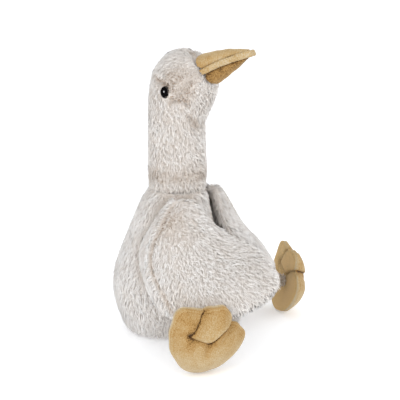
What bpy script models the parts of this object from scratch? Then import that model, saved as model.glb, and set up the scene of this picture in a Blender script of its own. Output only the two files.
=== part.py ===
"""Plush goose, sitting with its legs out in front. Metres, +Z up, facing -Y, on the floor at Z = 0.

Every stuffed piece is drawn at the mean outer surface of its pile. Its right side is at -X, and
what is on the right is made again on the left by turning the sign of X.
"""

import math

import bmesh
import bpy
import numpy as np
from mathutils import Vector

# Clearance between pieces that are sewn or pressed together
GAP = 0.0003

# Torso, ring by ring from the seat: height, how far forward, half width, half depth
NECK_SEAM_HEIGHT = 0.1530
TORSO_RINGS = (
    (0.0000, 0.0040, 0.0400, 0.0385),
    (0.0040, 0.0045, 0.0462, 0.0440),
    (0.0150, 0.0055, 0.0530, 0.0505),
    (0.0320, 0.0065, 0.0590, 0.0570),
    (0.0520, 0.0070, 0.0615, 0.0600),
    (0.0740, 0.0080, 0.0580, 0.0575),
    (0.0960, 0.0095, 0.0500, 0.0505),
    (0.1150, 0.0105, 0.0435, 0.0440),
    (0.1340, 0.0120, 0.0375, 0.0372),
    (0.1470, 0.0140, 0.0330, 0.0325),
)
NECK_SEAM_FORWARD = 0.0155
NECK_SEAM_HALF = 0.0285

# Neck and head, in one tube of cloth: height above the neck seam, forward, half width, half depth
NECK_RINGS = (
    (0.0060, 0.0158, 0.0300, 0.0296),
    (0.0250, 0.0160, 0.0304, 0.0300),
    (0.0500, 0.0155, 0.0298, 0.0294),
    (0.0680, 0.0158, 0.0300, 0.0294),
    (0.0820, 0.0185, 0.0318, 0.0318),
    (0.0960, 0.0222, 0.0340, 0.0346),
    (0.1080, 0.0246, 0.0346, 0.0352),
    (0.1190, 0.0252, 0.0330, 0.0330),
    (0.1280, 0.0258, 0.0292, 0.0288),
    (0.1350, 0.0266, 0.0230, 0.0226),
    (0.1400, 0.0276, 0.0150, 0.0146),
    (0.1422, 0.0282, 0.0050, 0.0048),
)

# Bill: two stuffed halves with a thick raw-edged strip sewn between them. Each half stops a little
# short of the strip's tip, is at its full height for a share of its length, and tucks in at the strip
BILL_ABOVE_SEAM = 0.1235
BILL_ROOT = Vector((0.0, -0.0505, NECK_SEAM_HEIGHT + BILL_ABOVE_SEAM))
BILL_RISE = math.radians(22.8)
BILL_LENGTH = 0.0506
BILL_SUNK = 0.0120
UPPER_BILL_ROOT_HALF = 0.0212
LOWER_BILL_ROOT_HALF = 0.0190
BILL_TIP_HALF = 0.0058
UPPER_BILL_HEIGHT = 0.0155
UPPER_BILL_TIP = 0.0018
LOWER_BILL_HEIGHT = 0.0135
LOWER_BILL_TIP = 0.0016
UPPER_BILL_SHORT = 0.0010
LOWER_BILL_SHORT = 0.0050
UPPER_BILL_FULL = 0.15
LOWER_BILL_FULL = 0.35
BILL_TIP_ROUNDING = 0.42
BILL_TIP_BLUNTNESS = 9
BILL_FALL_CURVE = 1.15
WELT_THICKNESS = 0.0054
WELT_PROUD = 0.0022
BILL_TUCK = math.radians(25.0)

# Eyes: a domed button on a shank, pushed through the cloth and held by a washer inside
EYE_ABOVE_SEAM = 0.1040
EYE_HEIGHT = NECK_SEAM_HEIGHT + EYE_ABOVE_SEAM
EYE_FORWARD = 0.0187
EYE_DIAMETER = 0.0120
EYE_DOME = 0.0046
EYE_SEAT = 0.0026
EYE_DOME_END = math.radians(84.6)
SHANK_DIAMETER = 0.0040
SHANK_LENGTH = 0.0110
EYE_WASHER_DIAMETER = 0.0130
EYE_WASHER_THICKNESS = 0.0014
EYE_WASHER_DEPTH = 0.0050

# Legs: stuffed tubes from the front of the torso, knees raised and turned out, to the feet
HIP = (-0.0280, -0.0420, 0.0360)
KNEE = (-0.0500, -0.0870, 0.0440)
SHIN = (-0.0840, -0.0840, 0.0370)
ANKLE_BEHIND = 0.0045
ANKLE_ABOVE = 0.0040
HIP_HALF = 0.0250
KNEE_HALF = 0.0240
SHIN_HALF = 0.0215
ANKLE_HALF = 0.0170

# Feet: flat webbed pads standing on their heels, soles out, toes up
FOOT_CENTRE = (-0.1110, -0.1010)
FOOT_HEADING = math.radians(42.0)
FOOT_LEAN = math.radians(12.0)
FOOT_TURN = math.radians(24.0)
TOE_REACH = 0.0475
MIDDLE_TOE_REACH = 0.0450
WEB_REACH = 0.0410
SIDE_REACH = 0.0340
HEEL_REACH = 0.0270
TOE_CORNER = 0.94
TOE_SPREAD = math.radians(48.0)
WEB_SPREAD = math.radians(26.0)
TOE_HALF_ANGLE = math.radians(12.0)
SIDE_ANGLE = math.radians(95.0)
HEEL_ANGLE = math.radians(135.0)
FOOT_THICKNESS = 0.0200
FOOT_EDGE = 0.0050
FOOT_CUP = 0.0110
FOOT_CROWN = 3.2
TOE_CREASE = 0.0042
TOE_CREASE_WIDTH = 0.0060
TOE_CREASE_START = 0.30

# Wings: padded flaps sewn in at the neck seam and draped over the knees. Each row runs from the
# back edge over the middle to the front edge, and the rows run down from the shoulder
WING_ROWS = (
    ((-0.0310, -0.0290, 0.1500), (-0.0345, -0.0390, 0.1510), (-0.0265, -0.0475, 0.1495)),
    ((-0.0455, -0.0150, 0.1260), (-0.0550, -0.0430, 0.1260), (-0.0180, -0.0660, 0.1240)),
    ((-0.0535, -0.0030, 0.0970), (-0.0710, -0.0540, 0.0990), (-0.0070, -0.0920, 0.1050)),
    ((-0.0635, -0.0160, 0.0660), (-0.0860, -0.0740, 0.0740), (-0.0040, -0.1290, 0.0920)),
    ((-0.0760, -0.0380, 0.0320), (-0.0850, -0.1040, 0.0480), (-0.0080, -0.1700, 0.0660)),
)
WING_CORNER = 0.72
WING_THICKNESS = 0.0170
WING_EDGE = 0.0080
WING_CROWN_ACROSS = 3
WING_CROWN_DOWN = 4

# Each surface's colour as linear RGB, and its roughness
PLUSH = (0.66, 0.61, 0.565), 0.95
SUEDE = (0.57, 0.36, 0.14), 0.85
WELT = (0.50, 0.29, 0.09), 0.95
BUTTON = (0.006, 0.006, 0.007), 0.08
WASHER = (0.75, 0.75, 0.73), 0.40

# Sides of a round body, of an eye and of a leg, and points round a foot
ROUND = 32
EYE_ROUND = 24
LEG_ROUND = 24
FOOT_ROUND = 60
# Steps up an eye's dome, stations along the bill with how they crowd to its tip, points across
# its section, and rows and columns of a wing
DOME_STEPS = 6
BILL_STATIONS = 12
BILL_CROWDING = 1.4
BILL_ARC = 15
WING_GRID = (17, 13)
# Each side's name, the sign of its X, and how much of the wing's forward reach it takes
SIDES = (("right", 1, 1.0), ("left", -1, 0.64))


def clear_scene():
    for thing in list(bpy.data.objects):
        bpy.data.objects.remove(thing, do_unlink=True)


def finish_of(name, colour, roughness):
    """A plain material of one colour."""
    finish = bpy.data.materials.new(name)
    finish.use_nodes = True
    shader = finish.node_tree.nodes["Principled BSDF"]
    shader.inputs["Base Color"].default_value = (*colour, 1.0)
    shader.inputs["Roughness"].default_value = roughness
    shader.inputs["Metallic"].default_value = 0.0
    return finish


def add_piece(name, points, faces, finish):
    """A closed mesh as a named object, with its faces turned outwards."""
    mesh = bpy.data.meshes.new(name)
    mesh.from_pydata([tuple(point) for point in points], [], faces)
    body = bmesh.new()
    body.from_mesh(mesh)
    bmesh.ops.triangulate(body, faces=body.faces, quad_method="FIXED")
    bmesh.ops.recalc_face_normals(body, faces=body.faces)
    body.to_mesh(mesh)
    body.free()
    mesh.shade_smooth()
    piece = bpy.data.objects.new(name, mesh)
    bpy.context.scene.collection.objects.link(piece)
    if finish:
        mesh.materials.append(finish)
    return piece


def add_cutter(name, points, faces):
    """A shape that is only taken away from others."""
    cutter = add_piece(name, points, faces, None)
    cutter.hide_render = True
    cutter.display_type = "WIRE"
    return cutter


def cut(piece, *cutters):
    for cutter in cutters:
        taken = piece.modifiers.new("less " + cutter.name, "BOOLEAN")
        taken.operation = "DIFFERENCE"
        taken.solver = "EXACT"
        taken.object = cutter


def mirrored(point, side):
    """A point of the goose's right side, or the same point on its left."""
    return Vector((point[0] * side, point[1], point[2]))


def smooth_at(rows, place):
    """The row at a place, counted in rows from the first, on a Catmull-Rom curve through them all."""
    ends = np.vstack([2 * rows[:1] - rows[1:2], rows, 2 * rows[-1:] - rows[-2:-1]])
    first = min(int(place), len(rows) - 2)
    before, start, end, after = ends[first : first + 4]
    t = place - first
    bend = 2 * before - 5 * start + 4 * end - after
    twist = 3 * start - before - 3 * end + after
    return start + 0.5 * ((end - before) * t + bend * t**2 + twist * t**3)


def smooth_rows(rows, per_span):
    rows = np.array(rows, float)
    places = range((len(rows) - 1) * per_span + 1)
    return np.array([smooth_at(rows, place / per_span) for place in places])


def tube_faces(ring_count, around):
    """Faces of a tube of equal rings, with a face across each end."""
    faces = []
    for ring in range(ring_count - 1):
        for spot in range(around):
            after = (spot + 1) % around
            low = ring * around
            high = low + around
            faces.append((low + spot, low + after, high + after, high + spot))
    faces.append(tuple(range(around))[::-1])
    faces.append(tuple(range((ring_count - 1) * around, ring_count * around)))
    return faces


def level_rings(rings, grow):
    """Points of a body built of level oval rings: height, forward, half width, half depth."""
    points = []
    for height, forward, half_width, half_depth in rings:
        for spot in range(ROUND):
            angle = math.tau * spot / ROUND
            points.append(
                (
                    (half_width + grow) * math.cos(angle),
                    -forward + (half_depth + grow) * math.sin(angle),
                    height,
                )
            )
    return points


def torso_rings(grow):
    """The torso's rings, up to the seam where the neck is sewn on."""
    seam = (NECK_SEAM_HEIGHT, NECK_SEAM_FORWARD, NECK_SEAM_HALF, NECK_SEAM_HALF)
    rings = smooth_rows(TORSO_RINGS + (seam,), 2)
    rings[0, 0] -= grow
    rings[-1, 0] += grow
    return rings


def neck_rings(grow):
    """The rings of the neck and head, up from the neck seam."""
    rings = [(0.0, NECK_SEAM_FORWARD, NECK_SEAM_HALF, NECK_SEAM_HALF)]
    rings = smooth_rows(rings + list(NECK_RINGS), 2)
    rings[:, 0] += NECK_SEAM_HEIGHT + GAP
    rings[0, 0] -= grow
    rings[-1, 0] += grow
    return rings


def level_body(name, rings, grow, finish=None):
    shape = (level_rings(rings, grow), tube_faces(len(rings), ROUND))
    if finish:
        return add_piece(name, *shape, finish)
    return add_cutter(name, *shape)


def turned(profile, at, axis):
    """Points and faces of a shape turned about an axis: the profile is (along the axis, radius)."""
    turn = axis.to_track_quat("Z", "Y")
    points = []
    for along, radius in profile:
        for spot in range(EYE_ROUND):
            angle = math.tau * spot / EYE_ROUND
            local = Vector((radius * math.cos(angle), radius * math.sin(angle), along))
            points.append(at + turn @ local)
    return points, tube_faces(len(profile), EYE_ROUND)


def eye_place(side):
    """Where the back of an eye's button lies, and the way the eye looks."""
    height = EYE_HEIGHT - NECK_SEAM_HEIGHT - GAP
    rings = np.array(NECK_RINGS)
    forward = np.interp(height, rings[:, 0], rings[:, 1])
    half_width = np.interp(height, rings[:, 0], rings[:, 2])
    half_depth = np.interp(height, rings[:, 0], rings[:, 3])
    behind = (forward - EYE_FORWARD) / half_depth
    across = half_width * math.sqrt(1 - behind**2)
    looks = Vector((-across / half_width**2, behind / half_depth, 0.0)).normalized()
    skin = Vector((-across, -EYE_FORWARD, EYE_HEIGHT))
    seat = skin - looks * EYE_SEAT
    return mirrored(seat, side), mirrored(looks, side)


def add_eye(name, side, head, button, plastic):
    """An eye and its washer, and the pocket that they fill in the head."""
    seat, looks = eye_place(side)
    half = EYE_DIAMETER / 2
    shank_half = SHANK_DIAMETER / 2
    dome = []
    for lift in np.linspace(0.0, EYE_DOME_END, DOME_STEPS + 1)[1:]:
        dome.append((EYE_DOME * math.sin(lift), half * math.cos(lift)))
    profile = [(-SHANK_LENGTH, shank_half), (0.0, shank_half), (0.0, half), *dome]
    add_piece(name, *turned(profile, seat, looks), button)

    washer_half = EYE_WASHER_DIAMETER / 2
    bore_half = shank_half + GAP
    washer_at = seat - looks * EYE_WASHER_DEPTH
    rings = (
        (0.0, bore_half),
        (0.0, washer_half),
        (-EYE_WASHER_THICKNESS, washer_half),
        (-EYE_WASHER_THICKNESS, bore_half),
    )
    points, faces = turned(rings, washer_at, looks)
    faces = faces[:-2]
    last = (len(rings) - 1) * EYE_ROUND
    for spot in range(EYE_ROUND):
        after = (spot + 1) % EYE_ROUND
        faces.append((last + spot, last + after, after, spot))
    add_piece(name + "_washer", points, faces, plastic)

    chamber_front = -EYE_WASHER_DEPTH + GAP
    chamber_back = -EYE_WASHER_DEPTH - EYE_WASHER_THICKNESS - GAP
    pocket = (
        (-SHANK_LENGTH - GAP, bore_half),
        (chamber_back, bore_half),
        (chamber_back, washer_half + GAP),
        (chamber_front, washer_half + GAP),
        (chamber_front, bore_half),
        (-GAP, bore_half),
        (-GAP, half + GAP),
        (EYE_DOME + EYE_SEAT, half + GAP),
    )
    cut(head, add_cutter(name + "_pocket", *turned(pocket, seat, looks)))


def bill_shares():
    """Shares of the bill's length, from its sunk root to its tip, closer together at the tip."""
    last = BILL_STATIONS - 1
    return [1 - (1 - step / last) ** BILL_CROWDING for step in range(BILL_STATIONS)]


def bill_half(share, root_half):
    """Half the bill's width: nearly straight sides and a blunt round tip."""
    straight = root_half + (BILL_TIP_HALF - root_half) * share
    return straight * (1 - BILL_TIP_ROUNDING * share**BILL_TIP_BLUNTNESS)


def bill_point(along, across, up):
    """A point from its place along, across and above the bill's own line."""
    ahead = Vector((0.0, -math.cos(BILL_RISE), math.sin(BILL_RISE)))
    above = Vector((0.0, math.sin(BILL_RISE), math.cos(BILL_RISE)))
    return BILL_ROOT + ahead * along + above * up + Vector((across, 0.0, 0.0))


def bill_side(name, way, root_half, height, tip_height, full_until, short, head, suede):
    """One stuffed half of the bill: way is 1 above the strip and -1 below it."""
    points = []
    shares = bill_shares()
    base = WELT_THICKNESS / 2 + GAP
    for share in shares:
        along = -BILL_SUNK + (BILL_SUNK + BILL_LENGTH - short) * share
        fall = max(0.0, (share - full_until) / (1 - full_until))
        rise = tip_height + (height - tip_height) * (1 - fall**BILL_FALL_CURVE)
        half = bill_half(share, root_half)
        for angle in np.linspace(-BILL_TUCK, math.pi + BILL_TUCK, BILL_ARC):
            above = (math.sin(angle) + math.sin(BILL_TUCK)) / (1 + math.sin(BILL_TUCK))
            points.append(bill_point(along, half * math.cos(angle), way * (base + rise * above)))
    piece = add_piece(name, points, tube_faces(len(shares), BILL_ARC), suede)
    cut(piece, head)


def add_bill(head_cutter, suede, strip):
    """Both halves of the bill and the strip between them, cut where they meet the head."""
    upper = (UPPER_BILL_HEIGHT, UPPER_BILL_TIP, UPPER_BILL_FULL, UPPER_BILL_SHORT)
    lower = (LOWER_BILL_HEIGHT, LOWER_BILL_TIP, LOWER_BILL_FULL, LOWER_BILL_SHORT)
    bill_side("upper_bill", 1, UPPER_BILL_ROOT_HALF, *upper, head_cutter, suede)
    bill_side("lower_bill", -1, LOWER_BILL_ROOT_HALF, *lower, head_cutter, suede)
    points = []
    shares = bill_shares()
    for share in shares:
        along = -BILL_SUNK + (BILL_SUNK + BILL_LENGTH + WELT_PROUD) * share
        half = bill_half(share, LOWER_BILL_ROOT_HALF) + WELT_PROUD
        for across, up in ((-half, -1), (half, -1), (half, 1), (-half, 1)):
            points.append(bill_point(along, across, up * WELT_THICKNESS / 2))
    welt = add_piece("bill_welt", points, tube_faces(len(shares), 4), strip)
    cut(welt, head_cutter)


def leg_shape(side, grow):
    """A stuffed leg, round in section, from inside the torso to inside the foot."""
    centre, _, up, sole = foot_frame(1)
    ankle = centre + up * ANKLE_ABOVE - sole * ANKLE_BEHIND
    stations = (
        (*HIP, HIP_HALF),
        (*KNEE, KNEE_HALF),
        (*SHIN, SHIN_HALF),
        (*ankle, ANKLE_HALF),
    )
    line = smooth_rows(stations, 4)
    points = []
    for spot, row in enumerate(line):
        centre = Vector(row[:3])
        ahead = Vector(line[min(spot + 1, len(line) - 1)][:3]) - Vector(line[max(spot - 1, 0)][:3])
        across = ahead.cross(Vector((0.0, 0.0, 1.0))).normalized()
        above = across.cross(ahead).normalized()
        half = row[3] + grow
        for turn in range(LEG_ROUND):
            angle = math.tau * turn / LEG_ROUND
            place = centre + across * half * math.cos(angle) + above * half * math.sin(angle)
            points.append(mirrored(place, side))
    return points, tube_faces(len(line), LEG_ROUND)


def foot_reach(angle):
    """How far the foot's outline lies from its centre, at an angle from the middle toe."""
    outline = (
        (0.0, MIDDLE_TOE_REACH),
        (WEB_SPREAD - TOE_HALF_ANGLE, MIDDLE_TOE_REACH),
        (WEB_SPREAD, WEB_REACH),
        (TOE_SPREAD - TOE_HALF_ANGLE, TOE_REACH * TOE_CORNER),
        (TOE_SPREAD, TOE_REACH),
        (TOE_SPREAD + TOE_HALF_ANGLE, TOE_REACH * TOE_CORNER),
        (SIDE_ANGLE, SIDE_REACH),
        (HEEL_ANGLE, HEEL_REACH),
        (math.pi, HEEL_REACH),
    )
    angles = [place[0] for place in outline]
    reaches = [place[1] for place in outline]
    return float(np.interp(abs(angle), angles, reaches))


def foot_frame(side):
    """The foot's centre and its axes: towards the other foot, up the foot, and out of the sole."""
    out = Vector((-math.sin(FOOT_HEADING), -math.cos(FOOT_HEADING), 0.0))
    inward = Vector((math.cos(FOOT_HEADING), -math.sin(FOOT_HEADING), 0.0))
    up = Vector((0.0, 0.0, math.cos(FOOT_LEAN))) + out * math.sin(FOOT_LEAN)
    sole = out * math.cos(FOOT_LEAN) - Vector((0.0, 0.0, math.sin(FOOT_LEAN)))
    height = HEEL_REACH * math.cos(FOOT_LEAN)
    centre = Vector((*FOOT_CENTRE, height))
    return [mirrored(axis, side) for axis in (centre, inward, up, sole)]


def foot_pad(angle, out, share):
    """Half the foot's thickness at a share of its reach: full, thin at the edge, creased by the toes."""
    crowned = (FOOT_THICKNESS - FOOT_EDGE) / 2 * (1 - share**FOOT_CROWN)
    from_crease = abs(abs(angle) - WEB_SPREAD) * out
    crease = TOE_CREASE * (1 - min(from_crease / TOE_CREASE_WIDTH, 1.0)) ** 1.5
    crease *= min(1.0, max(0.0, share / TOE_CREASE_START - 1))
    return FOOT_EDGE / 2 + max(0.0, crowned - crease)


def foot_shape(side, grow):
    """A padded foot with creases sewn between its toes, cupped so that the sole bulges out."""
    centre, inward, up, sole = foot_frame(side)
    shares = (0.22, 0.42, 0.60, 0.76, 0.88, 0.96, 1.0)
    points = []
    for face, face_shares in ((1, shares), (-1, shares[::-1])):
        for share in face_shares:
            for turn in range(FOOT_ROUND):
                angle = math.tau * turn / FOOT_ROUND - math.pi
                out = (foot_reach(angle) + grow) * share
                across = inward * out * math.sin(angle + FOOT_TURN)
                along = up * out * math.cos(angle + FOOT_TURN)
                lift = face * (foot_pad(angle, out, share) + grow) - FOOT_CUP * share**2
                points.append(centre + across + along + sole * lift)
    faces = tube_faces(2 * len(shares), FOOT_ROUND)[:-2]
    last = (2 * len(shares) - 1) * FOOT_ROUND
    points.append(centre + sole * (FOOT_THICKNESS / 2 + grow))
    points.append(centre - sole * (FOOT_THICKNESS / 2 + grow))
    for turn in range(FOOT_ROUND):
        after = (turn + 1) % FOOT_ROUND
        faces.append((turn, after, len(points) - 2))
        faces.append((last + after, last + turn, len(points) - 1))
    return points, faces


def add_leg(name, side, torso_cutter, plush, suede):
    """A foot, set down on its heel, and the leg between it and the torso."""
    foot = add_piece(name + "_foot", *foot_shape(side, 0.0), suede)
    foot_cutter = add_cutter(name + "_foot_room", *foot_shape(side, GAP))
    lowest = min(vertex.co.z for vertex in foot.data.vertices)
    for piece in (foot, foot_cutter):
        piece.location.z = -lowest
    leg = add_piece(name + "_leg", *leg_shape(side, 0.0), plush)
    cut(leg, torso_cutter, foot_cutter)
    leg_cutter = add_cutter(name + "_leg_room", *leg_shape(side, GAP))
    return leg_cutter, foot_cutter


def wing_sheet(reach):
    """The middle sheet of a wing pad as a grid of points, with its lower corners rounded off."""
    rows_count, columns = WING_GRID
    rows = np.array(WING_ROWS)
    shoulder = rows[0, 1, 1]
    rows[..., 1] = shoulder + (rows[..., 1] - shoulder) * reach
    sheet = np.empty((rows_count, columns, 3))
    for row in range(rows_count):
        for column in range(columns):
            u = 2 * column / (columns - 1) - 1
            v = 2 * row / (rows_count - 1) - 1
            corner = WING_CORNER / 2 if v > 0 else 0.0
            across = u * math.sqrt(1 - corner * v**2)
            down = v * math.sqrt(1 - corner * u**2)
            back, middle, front = smooth_at(rows, (down + 1) / 2 * (len(rows) - 1))
            sheet[row, column] = (
                back * across * (across - 1) / 2
                + middle * (1 - across**2)
                + front * across * (across + 1) / 2
            )
    return sheet


def add_wing(name, side, reach, cutters, plush):
    """A wing pad: a curved sheet, padded on both faces and thin along its edge."""
    rows_count, columns = WING_GRID
    sheet = wing_sheet(reach)
    outward = np.cross(np.gradient(sheet, axis=0), np.gradient(sheet, axis=1))
    outward /= np.linalg.norm(outward, axis=2, keepdims=True)
    if outward[rows_count // 2, columns // 2, 0] > 0:
        outward = -outward
    u = np.linspace(-1, 1, columns)[None, :]
    v = np.linspace(-1, 1, rows_count)[:, None]
    full = np.sqrt((1 - np.abs(u) ** WING_CROWN_ACROSS) * (1 - np.abs(v) ** WING_CROWN_DOWN))
    half = WING_EDGE / 2 + (WING_THICKNESS - WING_EDGE) / 2 * full
    faces_of_pad = [sheet + outward * half[..., None], sheet - outward * half[..., None]]
    points = [mirrored(point, side) for pad in faces_of_pad for point in pad.reshape(-1, 3)]

    inner = rows_count * columns
    faces = []
    for row in range(rows_count - 1):
        for column in range(columns - 1):
            a = row * columns + column
            faces.append((a, a + 1, a + columns + 1, a + columns))
            faces.append((inner + a, inner + a + columns, inner + a + columns + 1, inner + a + 1))
    top = list(range(columns))
    front = [row * columns + columns - 1 for row in range(1, rows_count)]
    bottom = [inner - 1 - column for column in range(1, columns)]
    back = [row * columns for row in range(rows_count - 2, 0, -1)]
    rim = top + front + bottom + back
    for a, b in zip(rim, rim[1:] + rim[:1]):
        faces.append((a, inner + a, inner + b, b))
    wing = add_piece(name + "_wing", points, faces, plush)
    cut(wing, *cutters)


def build_goose():
    clear_scene()
    plush = finish_of("plush pile", *PLUSH)
    suede = finish_of("tan suede", *SUEDE)
    strip = finish_of("raw suede edge", *WELT)
    button = finish_of("black eye", *BUTTON)
    plastic = finish_of("washer plastic", *WASHER)

    level_body("torso", torso_rings(0.0), 0.0, plush)
    head = level_body("neck_and_head", neck_rings(0.0), 0.0, plush)
    torso_cutter = level_body("torso_room", torso_rings(GAP), GAP)
    head_cutter = level_body("head_room", neck_rings(GAP), GAP)
    add_bill(head_cutter, suede, strip)
    for name, side, reach in SIDES:
        add_eye(name + "_eye", side, head, button, plastic)
        leg_cutter, foot_cutter = add_leg(name, side, torso_cutter, plush, suede)
        neighbours = (torso_cutter, head_cutter, leg_cutter, foot_cutter)
        add_wing(name, side, reach, neighbours, plush)


build_goose()
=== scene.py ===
"""Plush goose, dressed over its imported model. Metres, +Z up, facing -Y, its right side at -X."""
import math

import bpy
import numpy as np
from mathutils import Matrix, Vector, noise
from mathutils.bvhtree import BVHTree
from mathutils.kdtree import KDTree


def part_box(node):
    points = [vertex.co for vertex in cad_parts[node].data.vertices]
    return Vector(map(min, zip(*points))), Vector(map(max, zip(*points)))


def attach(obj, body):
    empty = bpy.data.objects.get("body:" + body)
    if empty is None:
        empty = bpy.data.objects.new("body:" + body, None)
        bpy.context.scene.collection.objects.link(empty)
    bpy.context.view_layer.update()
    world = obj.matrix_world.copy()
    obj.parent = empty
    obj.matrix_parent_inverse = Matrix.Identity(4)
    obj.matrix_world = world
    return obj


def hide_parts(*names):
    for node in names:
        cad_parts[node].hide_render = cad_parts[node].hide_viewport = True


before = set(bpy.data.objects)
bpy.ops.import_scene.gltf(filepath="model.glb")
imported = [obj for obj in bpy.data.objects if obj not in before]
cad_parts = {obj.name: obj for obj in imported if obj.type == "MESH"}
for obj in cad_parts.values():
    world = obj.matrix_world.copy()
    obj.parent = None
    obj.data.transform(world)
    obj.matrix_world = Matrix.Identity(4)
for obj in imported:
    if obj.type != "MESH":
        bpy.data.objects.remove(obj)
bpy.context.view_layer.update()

# Camera and studio
# The goose sits on a wide sheet of pale card. The camera looks at its right front from a little
# above, and white walls and three soft lamps light it from all round.
CAMERA_AZIMUTH = math.radians(-64.0)
CAMERA_ELEVATION = math.radians(14.0)
CAMERA_DISTANCE = 1.2
CAMERA_AIM_ACROSS = 0.0375
CAMERA_AIM_HEIGHT = 0.1383
LENS = 103.5
FILM_WIDTH = 36.0
PHOTO_WIDTH = 400
FLOOR_HALF = 9.0
CARD_GLOW = 0.24


def material(name):
    """A new node material, its nodes, its links and its shader."""
    made = bpy.data.materials.new(name)
    made.use_nodes = True
    tree = made.node_tree
    return made, tree.nodes, tree.links, tree.nodes["Principled BSDF"]


def camera_axes():
    """The camera's axes, to its right, upwards and backwards, and the place that it looks from."""
    across = Vector((math.cos(CAMERA_AZIMUTH), math.sin(CAMERA_AZIMUTH), 0.0))
    away = Vector((math.sin(CAMERA_AZIMUTH), -math.cos(CAMERA_AZIMUTH), 0.0))
    back = away * math.cos(CAMERA_ELEVATION) + Vector((0.0, 0.0, math.sin(CAMERA_ELEVATION)))
    aim = across * CAMERA_AIM_ACROSS + Vector((0.0, 0.0, CAMERA_AIM_HEIGHT))
    return across, back.cross(across), back, aim + back * CAMERA_DISTANCE


def place_camera():
    across, up, back, viewpoint = camera_axes()
    lens = bpy.data.cameras.new("camera")
    lens.sensor_width = FILM_WIDTH
    lens.lens = LENS
    camera = bpy.data.objects.new("camera", lens)
    camera.matrix_world = Matrix.Translation(viewpoint) @ Matrix((across, up, back)).transposed().to_4x4()
    bpy.context.scene.collection.objects.link(camera)
    bpy.context.scene.camera = camera


def soft_lamp(name, place, aim, width, power, colour, mirrored):
    """A square lamp. mirrored says whether the eyes mirror it."""
    data = bpy.data.lights.new(name, "AREA")
    data.size = width
    data.energy = power
    data.color = colour
    lamp = bpy.data.objects.new(name, data)
    lamp.location = place
    lamp.visible_glossy = mirrored
    lamp.rotation_euler = (Vector(aim) - Vector(place)).to_track_quat("-Z", "Y").to_euler()
    bpy.context.scene.collection.objects.link(lamp)


def white_card():
    """Matt card lit from below, with a faint mottle of its pulp."""
    card, nodes, links, shader = material("white card")
    pulp = nodes.new("ShaderNodeTexNoise")
    pulp.inputs["Scale"].default_value = 9.0
    tones = nodes.new("ShaderNodeValToRGB")
    tones.color_ramp.elements[0].color = (0.90, 0.905, 0.92, 1.0)
    tones.color_ramp.elements[1].color = (0.93, 0.935, 0.94, 1.0)
    links.new(pulp.outputs["Fac"], tones.inputs["Fac"])
    links.new(tones.outputs["Color"], shader.inputs["Base Color"])
    shader.inputs["Emission Color"].default_value = (0.98, 0.985, 1.0, 1.0)
    shader.inputs["Emission Strength"].default_value = CARD_GLOW
    shader.inputs["Roughness"].default_value = 0.9
    shader.inputs["Specular IOR Level"].default_value = 0.1
    return card


place_camera()
soft_lamp("front window", (-0.25, -1.8, 1.05), (0.0, -0.05, 0.12), 1.4, 12.5, (1.0, 0.985, 0.96), False)
soft_lamp("left window", (-1.15, -0.20, 0.52), (0.05, -0.08, 0.06), 0.6, 1.7, (1.0, 0.985, 0.96), False)
soft_lamp("side panel", (-0.96, 0.13, 0.39), (0.0, -0.02, 0.25), 0.36, 2.4, (1.0, 1.0, 1.0), True)
walls = bpy.data.worlds.new("white walls")
walls.use_nodes = True
walls.node_tree.nodes["Background"].inputs["Color"].default_value = (0.97, 0.985, 1.0, 1.0)
walls.node_tree.nodes["Background"].inputs["Strength"].default_value = 1.06
walls.cycles_visibility.glossy = False
bpy.context.scene.world = walls
bpy.context.scene.view_settings.view_transform = "Standard"

card_mesh = bpy.data.meshes.new("card")
corners = [(x * FLOOR_HALF, y * FLOOR_HALF, -0.0003) for x, y in ((-1, -1), (1, -1), (1, 1), (-1, 1))]
card_mesh.from_pydata(corners, [], [(0, 1, 2, 3)])
card_mesh.materials.append(white_card())
card_sheet = bpy.data.objects.new("card", card_mesh)
bpy.context.scene.collection.objects.link(card_sheet)
card_sheet.visible_glossy = False

# Torso
# A pear-shaped bag of knitted plush, stuffed with fibre and weighted with pellets, that sits flat on
# its seat. Its pile is about 8 mm long, lies downwards and parts into small locks.
PILE_LENGTH = 0.0086
PILE_DEPTH = 0.0027
PILE_WIDTH = 0.00064
PILE_SPACING = 0.00127
LOCK_SPACING = 0.0024
TUFTS_A_PIECE = 19000
CLOTH_GRAIN = 0.0030
SOFTENED_MOST = 0.0012
SEAM_REACH = 0.0035
ROOT_PROBE = 0.0022
ROOT_BURIED = 0.0004
FLOW_WAVE = 0.012
CURL_WAVE = 0.006
FIRST_HALF = 0.46
SECOND_HALF = 0.56
RUFFLED_SHORTER = 0.22
TUFT_TONE = 0.90
DARKEST_LOCK = -0.34
PALEST_LOCK = 0.12
RUB_SEARCH = 0.030
RUB_SHORTER = 0.60
# Painted shade darkens the torso's pile where a wing lies over it.
UNDER_WING_PAINTED_SHADE = 0.44
TORSO_RUFFLED = 0.06
SEAT_FACING = -0.75
SEAT_HEIGHT = 0.006
WING_RUB_AND_SHADE_REACH = 0.0100
PILE_ROOT = (0.64, 0.578, 0.528, 1.0)
PILE_MIDDLE = (0.75, 0.702, 0.658, 1.0)
PILE_TIP = (0.83, 0.795, 0.758, 1.0)
FLOOR_CLEARANCE = 0.0004
SEED = 11


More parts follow.
